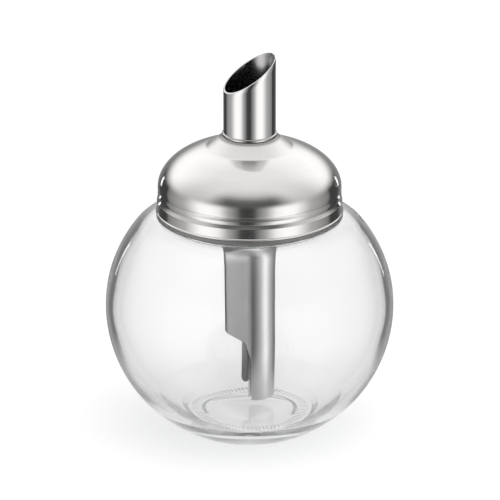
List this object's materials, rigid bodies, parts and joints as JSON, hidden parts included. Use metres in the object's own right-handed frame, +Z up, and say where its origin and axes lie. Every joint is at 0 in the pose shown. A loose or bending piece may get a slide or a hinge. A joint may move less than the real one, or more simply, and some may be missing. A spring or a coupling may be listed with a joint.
{
  "type": "sugar dispenser",
  "caption": "Ball-shaped glass sugar dispenser with a twist-off steel lid, slanted pouring spout, squeezed dosing tube and gravity flap.",
  "frame": {"origin": "centre of the jar's base, on the table", "axes": "+Z up along the jar's axis, +X towards the high tip of the spout"},
  "size_m": [0.1, 0.1, 0.1348],
  "materials": {
    "clear_glass": "clear, pressed glass, fire-polished",
    "lid_steel": "spun stainless steel, softly polished round the axis",
    "lid_plastic": "moulded, natural white",
    "seal_silicone": "silicone, matt translucent white",
    "tube_steel": "mirror-polished spout, drawn satin finish below the lid",
    "inner_steel": "plain stamped stainless steel",
    "flap_steel": "plain stainless steel, lightly tumbled"
  },
  "bodies": {
    "jar": {"glass_jar": "clear_glass"},
    "seal": {"rim_seal": "seal_silicone"},
    "lid": {"cap_shell": "lid_steel", "cap_insert": "lid_plastic", "dosing_tube": "tube_steel", "tube_collar": "tube_steel", "spout_seal": "seal_silicone", "tube_retainer": "inner_steel", "flap_pin": "flap_steel"},
    "flap": {"flap_disc": "flap_steel"}
  },
  "joints": [
    {"name": "lid_lift", "type": "slide", "parent": "jar", "child": "seal", "axis": [0, 0, 1], "range_m": [0, 0.11]},
    {"name": "lid_turn", "type": "hinge", "parent": "seal", "child": "lid", "pos_m": [0, 0, 0.0898], "axis": [0, 0, 1], "range_deg": [-45, 0]},
    {"name": "flap_swing", "type": "hinge", "parent": "lid", "child": "flap", "pos_m": [0.0024, 0, 0.089], "axis": [0, 1, 0], "range_deg": [0, 70]}
  ]
}
